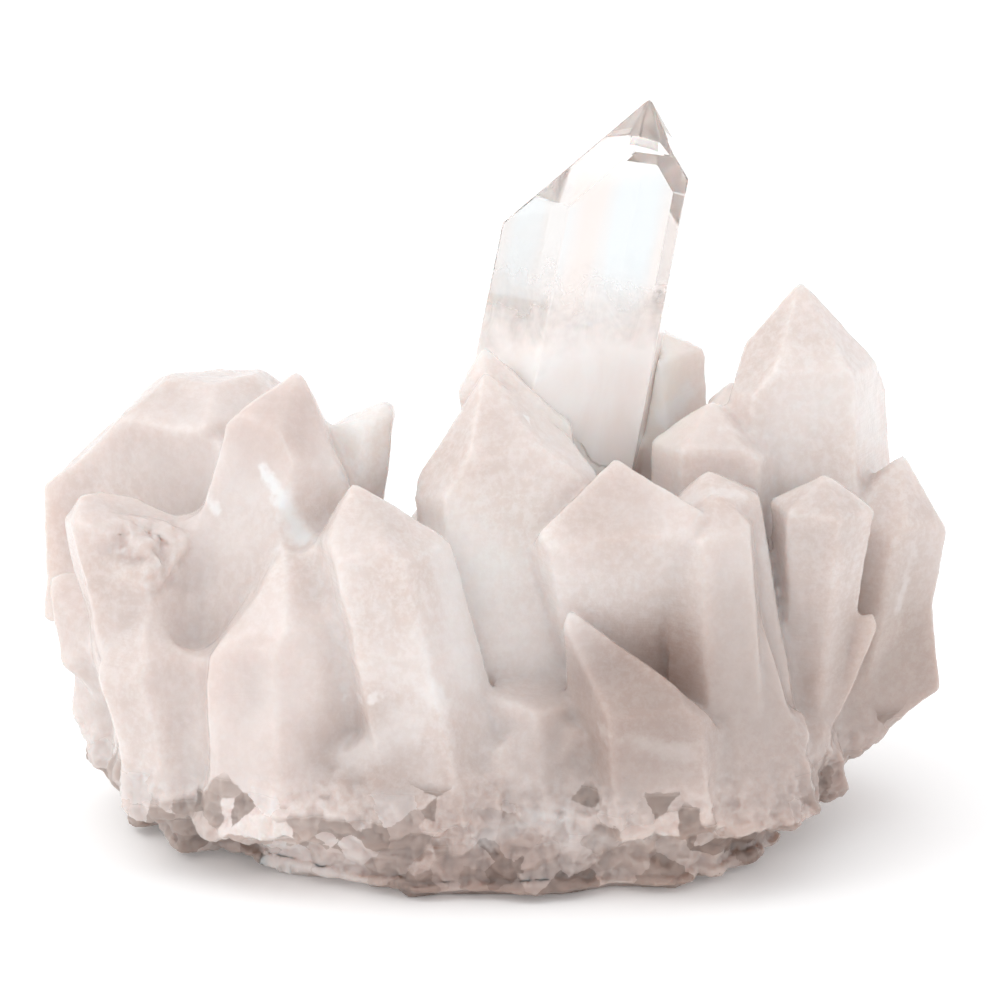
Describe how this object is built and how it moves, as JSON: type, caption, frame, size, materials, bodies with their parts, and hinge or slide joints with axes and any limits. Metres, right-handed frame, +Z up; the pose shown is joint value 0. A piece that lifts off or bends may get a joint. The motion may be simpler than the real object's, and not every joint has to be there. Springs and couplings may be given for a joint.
{
  "type": "quartz crystal cluster",
  "caption": "Cluster of quartz crystals: one tall clear point standing in milky points, on a rough granular base that rests flat.",
  "frame": {"origin": "under the middle of the cluster's box, on the flat that it rests on", "axes": "+X along the cluster's longest extent, to its right seen from the front; +Y to its back; +Z up, along the way the crystals grew"},
  "size_m": [0.2014, 0.1376, 0.16],
  "materials": {
    "milky_quartz": "gloss",
    "clear_quartz": "polished"
  },
  "bodies": {
    "root": {"crystal_cluster": "milky_quartz"}
  },
  "joints": []
}
